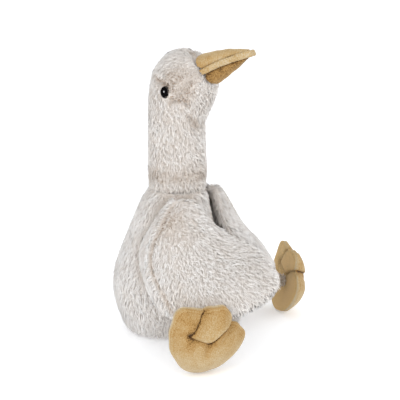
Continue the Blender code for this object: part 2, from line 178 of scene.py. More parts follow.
def pile_finish():
    """Greige pile: dark and warm at the root, pale at the tip, and each lock a little different. The darker a
    tuft is, the warmer it is, so the painted shade on it is warm."""
    finish, nodes, links, shader = material("greige pile")
    along = nodes.new("ShaderNodeAttribute")
    along.attribute_name = "along"
    tone = nodes.new("ShaderNodeAttribute")
    tone.attribute_name = "tone"
    fade = nodes.new("ShaderNodeValToRGB")
    fade.color_ramp.elements[0].color = PILE_ROOT
    fade.color_ramp.elements[1].color = PILE_TIP
    middle = fade.color_ramp.elements.new(0.45)
    middle.color = PILE_MIDDLE
    links.new(along.outputs["Fac"], fade.inputs["Fac"])
    patches = nodes.new("ShaderNodeTexNoise")
    patches.inputs["Scale"].default_value = 55.0
    patches.inputs["Detail"].default_value = 3.0
    place = nodes.new("ShaderNodeTexCoord")
    links.new(place.outputs["Object"], patches.inputs["Vector"])
    strength = nodes.new("ShaderNodeMath")
    strength.operation = "MULTIPLY_ADD"
    strength.inputs[1].default_value = 0.22
    links.new(patches.outputs["Fac"], strength.inputs[0])
    links.new(tone.outputs["Fac"], strength.inputs[2])
    shade = nodes.new("ShaderNodeMix")
    shade.data_type = "RGBA"
    shade.blend_type = "MULTIPLY"
    shade.inputs["Factor"].default_value = 1.0
    links.new(fade.outputs["Color"], shade.inputs["A"])
    # The lower the tone, the warmer the colour: painted shade and darker locks are warmed alike.
    warmed = nodes.new("ShaderNodeCombineColor")
    for channel, power in (("Red", 0.85), ("Green", 1.10), ("Blue", 1.35)):
        curve = nodes.new("ShaderNodeMath")
        curve.operation = "POWER"
        curve.inputs[1].default_value = power
        links.new(strength.outputs["Value"], curve.inputs[0])
        links.new(curve.outputs["Value"], warmed.inputs[channel])
    links.new(warmed.outputs["Color"], shade.inputs["B"])
    links.new(shade.outputs["Result"], shader.inputs["Base Color"])
    shader.inputs["Roughness"].default_value = 0.92
    shader.inputs["Specular IOR Level"].default_value = 0.15
    shader.inputs["Sheen Weight"].default_value = 0.25
    shader.inputs["Sheen Roughness"].default_value = 0.55
    shader.inputs["Sheen Tint"].default_value = (1.0, 0.97, 0.94, 1.0)
    return finish


def knit_finish():
    """The knitted ground that the pile grows from, mottled by the pile's own roots."""
    finish, nodes, links, shader = material("plush ground")
    place = nodes.new("ShaderNodeTexCoord")
    roots = nodes.new("ShaderNodeTexNoise")
    roots.inputs["Scale"].default_value = 420.0
    roots.inputs["Detail"].default_value = 4.0
    links.new(place.outputs["Object"], roots.inputs["Vector"])
    tones = nodes.new("ShaderNodeValToRGB")
    tones.color_ramp.elements[0].position = 0.3
    tones.color_ramp.elements[0].color = (0.56, 0.498, 0.445, 1.0)
    tones.color_ramp.elements[1].position = 0.7
    tones.color_ramp.elements[1].color = (0.72, 0.67, 0.625, 1.0)
    links.new(roots.outputs["Fac"], tones.inputs["Fac"])
    links.new(tones.outputs["Color"], shader.inputs["Base Color"])
    bump = nodes.new("ShaderNodeBump")
    bump.inputs["Strength"].default_value = 0.6
    bump.inputs["Distance"].default_value = 0.0008
    links.new(roots.outputs["Fac"], bump.inputs["Height"])
    links.new(bump.outputs["Normal"], shader.inputs["Normal"])
    shader.inputs["Roughness"].default_value = 0.95
    shader.inputs["Sheen Weight"].default_value = 0.2
    return finish


def settled(thing):
    """The object's mesh with its modifiers worked in, and the object left with none."""
    graph = bpy.context.evaluated_depsgraph_get()
    mesh = bpy.data.meshes.new_from_object(thing.evaluated_get(graph))
    thing.modifiers.clear()
    thing.data = mesh
    return mesh


def array_of(items, name, width=3):
    found = np.empty(len(items) * width)
    items.foreach_get(name, found)
    return found.reshape(-1, width)


def even_copy(node, name, grain, smoothing):
    """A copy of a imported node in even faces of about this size, its hard edges softened."""
    copy = bpy.data.objects.new(name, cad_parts[node].data.copy())
    bpy.context.scene.collection.objects.link(copy)
    copy.data.materials.clear()
    even = copy.modifiers.new("even faces", "REMESH")
    even.mode = "VOXEL"
    even.voxel_size = grain
    soft = copy.modifiers.new("soft edges", "SMOOTH")
    soft.iterations = smoothing
    settled(copy)
    copy.data.shade_smooth()
    return copy


def spread_evenly(values, mesh, rounds):
    """Each point's value averaged with its neighbours', a number of times."""
    edges = np.empty(len(mesh.edges) * 2, int)
    mesh.edges.foreach_get("vertices", edges)
    edges = edges.reshape(-1, 2)
    count = np.bincount(edges.ravel(), minlength=len(values)) + 1
    for _ in range(rounds):
        total = values.copy()
        np.add.at(total, edges[:, 0], values[edges[:, 1]])
        np.add.at(total, edges[:, 1], values[edges[:, 0]])
        values = total / count
    return values


def tree_of(node):
    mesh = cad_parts[node].data
    points = [v.co for v in mesh.vertices]
    return BVHTree.FromPolygons(points, [tuple(p.vertices) for p in mesh.polygons])


def cut_cloth(node, name, knit, sewn_to, dents=None):
    """The sewn cloth under a node's pile: the node's shape, drawn in by the depth of the pile, but
    not drawn away from what it is sewn to."""
    cloth = even_copy(node, name, CLOTH_GRAIN, 4)
    mesh = cloth.data
    points = array_of(mesh.vertices, "co")
    normals = array_of(mesh.vertices, "normal")
    outside = tree_of(node)
    sink = np.empty(len(points))
    for spot, (point, normal) in enumerate(zip(points, normals)):
        inwards = -Vector(normal)
        through = outside.ray_cast(Vector(point) + inwards * 0.0002, inwards)[3]
        softened = outside.find_nearest(Vector(point))[3]
        sink[spot] = min(PILE_DEPTH, 0.33 * (through or PILE_DEPTH)) - min(softened, SOFTENED_MOST)
    sink = spread_evenly(sink, mesh, 3)
    if dents:
        sink += dents(points)
    move = -normals * sink[:, None]
    for other in sewn_to:
        tree = tree_of(other)
        for spot, point in enumerate(points):
            near, facing, _, gap = tree.find_nearest(Vector(point), SEAM_REACH)
            if near is not None:
                away = max(0.0, Vector(move[spot]).dot(facing))
                move[spot] -= np.array(facing) * away * (1 - gap / SEAM_REACH)
    points += move
    points[:, 2] = np.maximum(points[:, 2], FLOOR_CLEARANCE)
    mesh.vertices.foreach_set("co", points.ravel())
    mesh.update()
    mesh.shade_smooth()
    mesh.materials.append(knit)
    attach(cloth, "root")
    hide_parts(node)
    return cloth


def unit(vectors):
    return vectors / np.maximum(np.linalg.norm(vectors, axis=1, keepdims=True), 1e-12)


def roots_on(cloth, spacing, rng):
    """Points scattered over a cloth, about one for each square of the spacing, and the cloth's
    normal there."""
    mesh = cloth.data
    mesh.calc_loop_triangles()
    points = array_of(mesh.vertices, "co")
    normals = array_of(mesh.vertices, "normal")
    corners = np.empty(len(mesh.loop_triangles) * 3, int)
    mesh.loop_triangles.foreach_get("vertices", corners)
    corners = corners.reshape(-1, 3)
    a, b, c = (points[corners[:, side]] for side in range(3))
    area = np.linalg.norm(np.cross(b - a, c - a), axis=1) / 2
    count = int(area.sum() / spacing**2)
    steps = (np.arange(count) + rng.random(count)) / count
    chosen = np.searchsorted(np.cumsum(area) / area.sum(), steps).clip(0, len(area) - 1)
    share = rng.random((count, 2))
    share[share.sum(1) > 1] = 1 - share[share.sum(1) > 1]
    share = np.column_stack([1 - share.sum(1), share])
    place = np.einsum("ns,nsk->nk", share, points[corners[chosen]])
    facing = np.einsum("ns,nsk->nk", share, normals[corners[chosen]])
    return place, unit(facing)


def drift(places, size, seed):
    """Smooth noise from -1 to 1 at each place, in waves of about this size."""
    offset = Vector((seed * 7.3, seed * 3.1, seed * 5.7))
    return np.array([noise.noise(Vector(place) / size + offset) for place in places])


def turned(vectors, axes, angles):
    """Each vector turned about its own axis."""
    cos, sin = np.cos(angles)[:, None], np.sin(angles)[:, None]
    return vectors * cos + np.cross(axes, vectors) * sin


def press_out(points, trees, lift):
    """Each point that lies in one of the solids moved out to just above its surface. Gives how deep
    each one lay."""
    depth = np.zeros(len(points))
    for tree in trees:
        for spot, place in enumerate(points):
            near, normal, _, gap = tree.find_nearest(Vector(place), 0.010)
            if near is not None and (Vector(place) - near).dot(normal) < 0:
                points[spot] = near + normal * lift
                depth[spot] = max(depth[spot], gap)
    return depth


def tuft_mesh(name, root, middle, tip, normal, thick, shade, rng):
    """Tufts of three sides and two lengths, closed at the root and drawn to a point at the tip."""
    count = len(root)
    across = unit(np.cross(normal, tip - root))
    above = unit(np.cross(tip - root, across))
    roll = rng.random(count) * math.tau
    points = np.empty((count, 7, 3))
    facing = np.empty((count, 7, 3))
    for corner in range(3):
        turn = roll + math.tau * corner / 3
        side = across * np.cos(turn)[:, None] + above * np.sin(turn)[:, None]
        points[:, corner] = root - normal * 0.0008 + side * (thick * 0.42)[:, None]
        points[:, 3 + corner] = middle + side * (thick * 0.50)[:, None]
        facing[:, corner] = facing[:, 3 + corner] = side
    points[:, 6] = tip
    facing[:, 6] = unit(tip - middle)
    facing = 0.20 * facing + 0.90 * normal[:, None, :]
    points[..., 2] = np.maximum(points[..., 2], FLOOR_CLEARANCE)
    sides = []
    for corner in range(3):
        after = (corner + 1) % 3
        sides += [(corner, after, 3 + after), (corner, 3 + after, 3 + corner), (3 + corner, 3 + after, 6)]
    sides.append((0, 2, 1))
    faces = (np.arange(count)[:, None, None] * 7 + np.array(sides)[None]).reshape(-1, 3)
    mesh = bpy.data.meshes.new(name)
    mesh.from_pydata(points.reshape(-1, 3).tolist(), [], faces.tolist())
    mesh.shade_smooth()
    mesh.normals_split_custom_set_from_vertices(unit(facing.reshape(-1, 3)).tolist())
    along = mesh.attributes.new("along", "FLOAT", "POINT")
    along.data.foreach_set("value", np.tile([0.0] * 3 + [0.5] * 3 + [1.0], count).astype(np.float32))
    tone = mesh.attributes.new("tone", "FLOAT", "POINT")
    tone.data.foreach_set("value", np.repeat(shade, 7).astype(np.float32))
    return mesh


def grow_pile(name, cloth, coat, near_nodes, bare_nodes=(), keep=None, clear=None, spacing=PILE_SPACING):
    """Tapered tufts of pile over a cloth. Each lies the way its coat gives for its place, bends over
    towards its tip and is drawn to the middle of its lock. It lies on the pieces it meets, but
    leaves the bare ones free. coat gives the way the pile lies, how ruffled it is, its share of the
    full length and what is added to its tone where it is seen. keep gives which tufts are left in,
    and clear which places a tuft may cross."""
    rng = np.random.default_rng(SEED + len(name))
    root, normal = roots_on(cloth, spacing, rng)
    near_trees = [tree_of(node) for node in near_nodes]
    bare_trees = [tree_of(node) for node in bare_nodes]
    kept = press_out(root + normal * ROOT_PROBE, near_trees + bare_trees, 0.0) < ROOT_BURIED
    if keep:
        kept &= keep(root, normal)
    root, normal = root[kept], normal[kept]
    count = len(root)
    lock_of = np.arange(0, count, max(1, int((LOCK_SPACING / spacing) ** 2)))
    locks = KDTree(len(lock_of))
    for spot in lock_of:
        locks.insert(Vector(root[spot]), spot)
    locks.balance()
    middle_of = np.array([locks.find(Vector(place))[1] for place in root])
    flow, rough, share, _ = coat(root)
    flow = unit(flow - normal * np.einsum("nk,nk->n", flow, normal)[:, None])
    wander = rng.normal(0.0, 1.0, count)
    by_lock = wander[middle_of]
    angle = 0.40 * drift(root, FLOW_WAVE, 1) + (0.20 + 0.80 * rough) * by_lock + (0.16 + 0.2 * rough) * wander
    flow = turned(flow, normal, angle)
    curl = 0.30 * drift(root, CURL_WAVE, 2) + (0.26 + 0.8 * rough) * rng.normal(0, 1, count)
    bend = turned(flow, normal, curl)
    size = PILE_LENGTH * share * (0.86 + 0.08 * by_lock.clip(-1.5, 1.5) + 0.14 * rng.random(count))
    size *= 1 - RUFFLED_SHORTER * rough
    stand = 0.66 + 0.45 * rough + 0.07 * by_lock.clip(-1, 1) + 0.08 * wander.clip(-1, 1)
    first = unit(normal * stand[:, None] + flow) * (size * FIRST_HALF)[:, None]
    second = unit(normal * (0.24 + 0.35 * rough)[:, None] + bend) * (size * SECOND_HALF)[:, None]
    middle = root + first
    tip = middle + second
    to_lock = root[middle_of] - root
    to_lock -= normal * np.einsum("nk,nk->n", to_lock, normal)[:, None]
    middle += to_lock * (0.08 + 0.18 * rough)[:, None]
    tip += to_lock * (0.16 + 0.34 * rough)[:, None]
    press_out(middle, near_trees, 0.0002)
    press_out(tip, near_trees, 0.0005)
    free = press_out(tip - normal * 0.0006, bare_trees, 0.0) == 0.0
    if clear:
        free &= clear(middle) & clear(tip) & clear((middle + tip) / 2)
    thick = PILE_WIDTH * (0.80 + 0.4 * rng.random(count))
    seen_tint = coat((middle + tip) / 2)[3]
    # Each lock's tone differs at random. Painted shade darkens the ruffled places a little, and the coat adds
    # its own painted light and shade.
    mixed = (0.024 + 0.16 * rough) * by_lock + (0.026 + 0.09 * rough) * wander
    shade = TUFT_TONE + mixed.clip(DARKEST_LOCK, PALEST_LOCK) - 0.05 * rough + seen_tint
    left = np.flatnonzero(free)
    left = left[np.argsort(root[left, 2])]
    pieces = math.ceil(len(left) / TUFTS_A_PIECE)
    for number, part in enumerate(np.array_split(left, pieces)):
        held = (array[part] for array in (root, middle, tip, normal, thick, shade))
        label = f"{name}_{number + 1}" if pieces > 1 else name
        mesh = tuft_mesh(label, *held, rng)
        mesh.materials.append(pile)
        tufts = bpy.data.objects.new(label, mesh)
        bpy.context.scene.collection.objects.link(tufts)
        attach(tufts, "root")


pile = pile_finish()
knit = knit_finish()
neck_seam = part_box("torso")[1].z


def torso_coat(places):
    """The pile lies down. It is pressed short where a wing rubs on it, and painted shade from the wing
    darkens it there.
    """
    flow = np.column_stack([places[:, 0] * 3.0, (places[:, 1] + 0.01) * 3.0, np.full(len(places), -1.0)])
    rubbed_and_painted_shading = np.zeros(len(places))
    for node in ("right_wing", "left_wing"):
        tree = tree_of(node)
        gaps = [tree.find_nearest(Vector(place), RUB_SEARCH)[3] or RUB_SEARCH for place in places]
        rubbed_and_painted_shading = np.maximum(rubbed_and_painted_shading, np.exp(-((np.array(gaps) / WING_RUB_AND_SHADE_REACH) ** 2)))
    return flow, np.full(len(places), TORSO_RUFFLED), 1 - RUB_SHORTER * rubbed_and_painted_shading, 0.02 - UNDER_WING_PAINTED_SHADE * rubbed_and_painted_shading


def off_the_floor(places, normals):
    return (normals[:, 2] > SEAT_FACING) | (places[:, 2] > SEAT_HEIGHT)


beside_torso = ("right_wing", "left_wing", "right_leg", "left_leg", "neck_and_head")
torso = cut_cloth("torso", "torso_cloth", knit, beside_torso)
grow_pile("torso_pile", torso, torso_coat, beside_torso, keep=off_the_floor)

# Neck and head
# One tube of plush from the neck seam to the crown, firmly stuffed, with a seam over the crown and a
# dart at the throat. Stitches through the head draw in the eyes, and pull a dent over each.
EYE_SPOT = (0.0347, -0.0187, 0.2570)
EYE_ACROSS = 0.0045
EYE_UP = 0.0064
CHEEK_SPOT = (0.0315, -0.0350, 0.2640)
CHEEK_REACH = 0.020
COLLAR_HEIGHT = 0.0100
BILL_MIDDLE = (0.0, -0.0520, 0.2770)
BILL_SWAY = 0.0285
BROW_MARKS = ((154, 78), (160, 83), (166, 87))
BROW_UNDER = 0.0008
BROW_DEPTH = 0.0044
CHEEK_MARKS = ((170, 107), (173, 104), (179, 103), (185, 104), (188, 107))
CHEEK_DEPTH = 0.0032
DART_MARKS = ((189, 118), (193, 123), (198, 129))
DART_DEPTH = 0.0030
CROWN_START = (0.0, -0.0300, 0.2960)
CROWN_MARKS = ((194, 54), (197, 60))
CROWN_OVER = 0.0005
CROWN_DEPTH = 0.0024
DENT_HALF = 0.0028
HEAD_FOOT = 0.222
CROWN_FOOT = 0.262
CROWN_BLEND = 0.028
COLLAR_UP = 0.017
CHEEK_RUFFLED = 0.90
COLLAR_RUFFLED = 0.85
NECK_RUFFLED = 0.26
HEAD_PILE = 0.90
BILL_SHORTER = 0.25
EYE_SHORTER = 0.35
PARTING_SHORTER = 0.60
PARTING_PAINTED_SHADE = 0.80
PARTING_REACH = 0.0045
PARTING_HALF = 0.0024
CROWN_TOP = (0.0, -0.0180, 0.2960)
CROWN_RISE = 0.0026
CROWN_REACH = 0.0170


def marked(node, marks):
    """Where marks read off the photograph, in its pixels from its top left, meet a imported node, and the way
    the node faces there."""
    across, up, back, viewpoint = camera_axes()
    tree = tree_of(node)
    focus = LENS / FILM_WIDTH * PHOTO_WIDTH
    met = []
    for right, down in marks:
        ray = across * (right - PHOTO_WIDTH / 2) / focus + up * (PHOTO_WIDTH / 2 - down) / focus - back
        met.append(tree.ray_cast(viewpoint, ray.normalized())[:2])
    return met


def line_on(node, marks, under=0.0):
    """The line of marks this far under a node's surface, turned to the goose's left side."""
    places = [place - facing * under for place, facing in marked(node, marks)]
    return [(abs(place.x), place.y, place.z) for place in places]


def from_line(places, line):
    """How far each place lies from a line of points, on the side of the goose that it is on, and the
    way to it from the line."""
    folded = np.column_stack([np.abs(places[:, 0]), places[:, 1:]])
    away = np.full(places.shape, np.inf)
    least = np.full(len(places), np.inf)
    for start, end in zip(np.array(line[:-1]), np.array(line[1:])):
        reach = end - start
        share = ((folded - start) @ reach / (reach @ reach)).clip(0, 1)
        gap = folded - start - share[:, None] * reach
        closer = np.linalg.norm(gap, axis=1) < least
        away[closer] = gap[closer]
        least[closer] = np.linalg.norm(gap[closer], axis=1)
    away[:, 0] *= np.where(places[:, 0] < 0, -1, 1)
    return least, away


brow_dent = line_on("neck_and_head", BROW_MARKS, BROW_UNDER)
cheek_dent = line_on("neck_and_head", CHEEK_MARKS)
throat_dart = line_on("neck_and_head", DART_MARKS)
crown_seam = [CROWN_START] + line_on("neck_and_head", CROWN_MARKS, -CROWN_OVER)
head_lines = (
    (brow_dent, BROW_DEPTH), (cheek_dent, CHEEK_DEPTH), (throat_dart, DART_DEPTH), (crown_seam, CROWN_DEPTH),
)


def head_dents(places):
    """How much further the cloth is drawn in, at the dents and along the seams."""
    drawn = np.zeros(len(places))
    for line, depth in head_lines:
        drawn += depth * np.exp(-((from_line(places, line)[0] / DENT_HALF) ** 2))
    crown = np.linalg.norm(places - np.array(CROWN_TOP), axis=1)
    return drawn - CROWN_RISE * np.exp(-((crown / CROWN_REACH) ** 2))


def from_eye(places):
    """Where each place lies from the eye on its own side, and how far in eye widths."""
    eye = np.column_stack([np.abs(places[:, 0]), places[:, 1:]]) - np.array(EYE_SPOT)
    widths = np.hypot(np.hypot(eye[:, 0], eye[:, 1]) / EYE_ACROSS, eye[:, 2] / EYE_UP)
    eye[:, 0] *= np.where(places[:, 0] < 0, -1, 1)
    return eye, widths


def head_coat(places):
    """The pile lies down the neck and back over the crown, and away from the eyes and the bill. It
    is ruffled on the cheeks and round the collar, and short beside the bill."""
    high = ((places[:, 2] - CROWN_FOOT) / CROWN_BLEND).clip(0, 1)
    flow = np.zeros_like(places)
    flow[:, 0] = np.sign(places[:, 0]) * 0.55 * high
    flow[:, 1] = 0.15 + 0.9 * high
    flow[:, 2] = -1.0 + 0.2 * high
    eye, widths = from_eye(places)
    near = np.exp(-((widths / 1.6) ** 4))
    above = (np.abs(eye[:, 2]) / 0.0055).clip(0, 1) ** 2
    flow = flow * (1 - near * above)[:, None] + unit(eye) * (near * (1.9 * above - 0.55))[:, None]
    bill = places - np.array(BILL_MIDDLE)
    beside = np.exp(-((np.linalg.norm(bill, axis=1) / BILL_SWAY) ** 4))
    flow = flow * (1 - beside)[:, None] + unit(bill) * beside[:, None] * 1.2
    cheek = np.column_stack([np.abs(places[:, 0]), places[:, 1:]]) - np.array(CHEEK_SPOT)
    ruffled = CHEEK_RUFFLED * np.exp(-((np.linalg.norm(cheek, axis=1) / CHEEK_REACH) ** 4))
    collar = (places[:, 2] - neck_seam - COLLAR_UP) / COLLAR_HEIGHT
    ruffled = np.maximum(ruffled, COLLAR_RUFFLED * np.exp(-(collar**2)))
    ruffled = np.maximum(ruffled, NECK_RUFFLED * (1 - high))
    share = HEAD_PILE - BILL_SHORTER * beside - EYE_SHORTER * near
    # The tone is darker over the crown. Painted shade darkens the ruffled cheeks and collar, and the lines of
    # the dents and seams.
    tint = 0.03 - 0.31 * ruffled - 0.06 * high
    for line, _ in head_lines:
        gap = from_line(places, line)[0]
        share *= 1 - PARTING_SHORTER * np.exp(-((gap / PARTING_REACH) ** 2))
        tint -= PARTING_PAINTED_SHADE * np.exp(-((gap / PARTING_HALF) ** 2))
    return flow, ruffled, share, tint


def off_the_eyes(places):
    return from_eye(places)[1] > 1.0


def on_head(places, normals):
    return off_the_eyes(places) & (places[:, 2] > HEAD_FOOT)


def on_neck(places, normals):
    return (places[:, 2] <= HEAD_FOOT) & (normals[:, 2] > -0.9)


head = cut_cloth("neck_and_head", "neck_and_head_cloth", knit, ("torso",), head_dents)
bare = ("upper_bill", "lower_bill", "bill_welt")
beside_head = ("torso", "right_wing", "left_wing")
grow_pile("head_pile", head, head_coat, beside_head, bare, on_head, off_the_eyes)
grow_pile("neck_pile", head, head_coat, beside_head, (), on_neck)

# Legs
# Two soft tubes of the same plush, sewn into the torso's front and drawn in where the feet close
# them. The left one is drawn in further.
LEFT_ANKLE = (0.1000, -0.0870, 0.0330)
ANKLE_WAY = (0.669, -0.743, 0.0)
ANKLE_REACH = 0.0200
ANKLE_DRAWN = 0.70
LEG_PILE = 0.75
LEG_RUFFLED = 0.06
LEG_SPACING = 0.00165


def leg_coat(places):
    even = np.zeros(len(places))
    flow = np.column_stack([np.sign(places[:, 0]) * 0.3, even + 0.3, even - 0.8])
    return flow, even + LEG_RUFFLED, even + LEG_PILE, even


def draw_in(cloth, foot, share):
    """The end of the left leg drawn towards its middle line near the foot."""
    points = array_of(cloth.data.vertices, "co")
    gaps = np.array([foot.find_nearest(Vector(place))[3] for place in points])
    way = np.array(ANKLE_WAY)
    out = points - np.array(LEFT_ANKLE)
    out -= (out @ way)[:, None] * way
    points -= out * (share * np.exp(-((gaps / ANKLE_REACH) ** 2)))[:, None]
    cloth.data.vertices.foreach_set("co", points.ravel())
    cloth.data.update()


for name in ("right", "left"):
    beside_leg = ("torso", f"{name}_wing", f"{name}_foot")
    leg = cut_cloth(f"{name}_leg", f"{name}_leg_cloth", knit, beside_leg)
    if name == "left":
        draw_in(leg, tree_of("left_foot"), ANKLE_DRAWN)
    grow_pile(f"{name}_leg_pile", leg, leg_coat, beside_leg, keep=off_the_floor, spacing=LEG_SPACING)

# Wings
# Padded flaps of two plush pieces sewn edge to edge, caught in the neck seam and draped over the
# knees. The pile runs out from the shoulder to every edge, and parts along the seam.
SHOULDER = (0.0380, -0.0350, 0.2050)
WING_RUFFLE = (0.0580, -0.0430, 0.1335)
WING_RUFFLE_REACH = 0.0180
WING_SEAM_MARKS = (
    (173, 203), (166, 214), (160, 228), (152, 243), (148.5, 258), (150, 272), (156, 286), (163, 298),
    (168, 310), (175, 319),
)
WING_SEAM_UNDER = 0.0010
WING_SEAM_DEPTH = 0.0024
WING_SEAM_HALF = 0.0024
WING_GROOVE_HALF = 0.0022
WING_PARTING_REACH = 0.0050
STRIP_WIDTH = 0.0075
HANG_START = 0.060
HANG_BLEND = 0.030
HANG_SHORTER = 0.12
WING_PILE = 0.92
WING_RUFFLED = 0.90
WING_SEAM_RUFFLED = 0.55
WING_SEAM_RUFFLE_REACH = 0.0045
WING_SEAM_SHORTER = 0.45
WING_SEAM_PAINTED_SHADE = 0.50
STRIP_PAINTED_LIGHT = 0.11


wing_seam = line_on("right_wing", WING_SEAM_MARKS, WING_SEAM_UNDER)


def wing_dents(places):
    return WING_SEAM_DEPTH * np.exp(-((from_line(places, wing_seam)[0] / WING_GROOVE_HALF) ** 2))


def wing_coat(side):
    """The pile lies out from the shoulder, and over the edge. It parts along the seam that runs inside the
    back edge, where it is short and darkened by painted shade, and painted light makes it pale on the strip
    outside it. Painted shade also darkens its ruffled places."""
    def coat(places):
        mirror = np.array([side, 1, 1])
        flow = unit(places - np.array(SHOULDER) * mirror)
        flow[:, 2] -= 0.25
        gap, away = from_line(places, wing_seam)
        beside = np.exp(-((gap / WING_PARTING_REACH) ** 2))
        flow = flow * (1 - beside)[:, None] + unit(away) * beside[:, None]
        ruffle = np.linalg.norm(places - np.array(WING_RUFFLE) * mirror, axis=1)
        rough = WING_RUFFLED * np.exp(-((ruffle / WING_RUFFLE_REACH) ** 2)) + 0.04
        rough = np.maximum(rough, WING_SEAM_RUFFLED * np.exp(-((gap / WING_SEAM_RUFFLE_REACH) ** 2)))
        hanging = ((HANG_START - places[:, 2]) / HANG_BLEND).clip(0, 1)
        share = (WING_PILE - WING_SEAM_SHORTER * beside) * (1 - HANG_SHORTER * hanging)
        # Painted light on the strip outside the seam, and painted shade along the seam and in the ruffles.
        outside = (away[:, 1] > 0) & (gap < STRIP_WIDTH)
        seam_painted_shade = np.exp(-((gap / WING_SEAM_HALF) ** 2))
        tint = 0.02 + STRIP_PAINTED_LIGHT * outside - WING_SEAM_PAINTED_SHADE * seam_painted_shade - 0.20 * rough
        return flow, rough, share, tint

    return coat


for side, name in ((-1, "right"), (1, "left")):
    beside_wing = ("torso", "neck_and_head", f"{name}_leg", f"{name}_foot")
    wing = cut_cloth(f"{name}_wing", f"{name}_wing_cloth", knit, beside_wing, wing_dents)
    grow_pile(f"{name}_wing_pile", wing, wing_coat(side), beside_wing)

# Feet
# Flat webbed pads of tan suede, two pieces sewn edge to edge and turned, lightly stuffed. Stitched
# creases part the toes, and the middle toe folds over where it leaves the sole.
FOOT_HEADING = math.radians(42.0)
FOOT_LEAN = math.radians(12.0)
FOOT_HUB = Vector((0.1110, -0.1010, 0.0249))
FOOT_THICKNESS = 0.0200
FOOT_EDGE = 0.0046
FOOT_CUP = 0.0110
PAD_TOP = (0.0020, 0.0480)
INNER_CREASE_MARKS = ((203, 309), (201, 316), (197, 328), (190, 337))
FOLD_MARKS = ((200, 341),)
OUTER_CREASE_MARKS = ((210, 344.5), (214.5, 342), (222, 335))
PAD_OUTSIDE = ((0.0240, 0.0247), (0.0320, 0.0272), (0.0420, 0.0300))
PAD_FAR_CORNER = (0.0600, 0.0800)
INNER_POCKET_MARKS = ((190, 337), (189.5, 344), (190, 350))
OUTER_POCKET_MARKS = ((210, 344.5), (208.5, 350.5), (207, 356.5))
PAD_RISE = 0.0011
PAD_LIP = 0.0006
SLOPE_DEPTH = 0.0015
SLOPE_REACH = 0.0050
CREASE_DEPTH = 0.0022
CREASE_HALF = 0.0005
CREASE_SHARES = (0.45, 0.22, 0.80)
PAD_FADE = 0.020
INNER_PAD_FADE = 0.012
INNER_LINE_SHADE = 0.42
INNER_LINE_HALF = 0.00045
FOLD_LINE_SHADE = 0.24
FOLD_LINE_HALF = 0.0007
OUTER_LINE_HALF = 0.0011
BACK_LIFT = 0.8
BACK_SHADE = 0.6
BACK_PAINTED_LIGHT = 0.32
FOOT_ROUND = 264
SOLE_RINGS = 52
BACK_RINGS = 26
RIM_WINDOW = 0.08
RIM_SHARE = 0.97
TOE_CORNERS = ((-0.56, 0.0056, 0.20), (-0.98, 0.0014, 0.16), (0.24, -0.0010, 0.10), (0.46, 0.0024, 0.12),
               (0.86, -0.0034, 0.13), (1.17, -0.0026, 0.14))
POCKET_DEPTH = 0.0012
POCKET_REACH = 0.0030
NAP_PAINTED_SHEEN_MOTTLE = 0.28
SUEDE_LEVEL = 0.725
# The darkest colour, for painted shade in the deepest creases.
SUEDE_SHADE_DARKEST = (0.060, 0.026, 0.008, 1.0)
SUEDE_DARK = (0.315, 0.178, 0.056, 1.0)
SUEDE_MIDDLE = (0.395, 0.276, 0.132, 1.0)
SUEDE_PALE = (0.465, 0.375, 0.245, 1.0)
SUEDE_BACK_PAINTED_LIGHT = (0.640, 0.430, 0.190, 1.0)


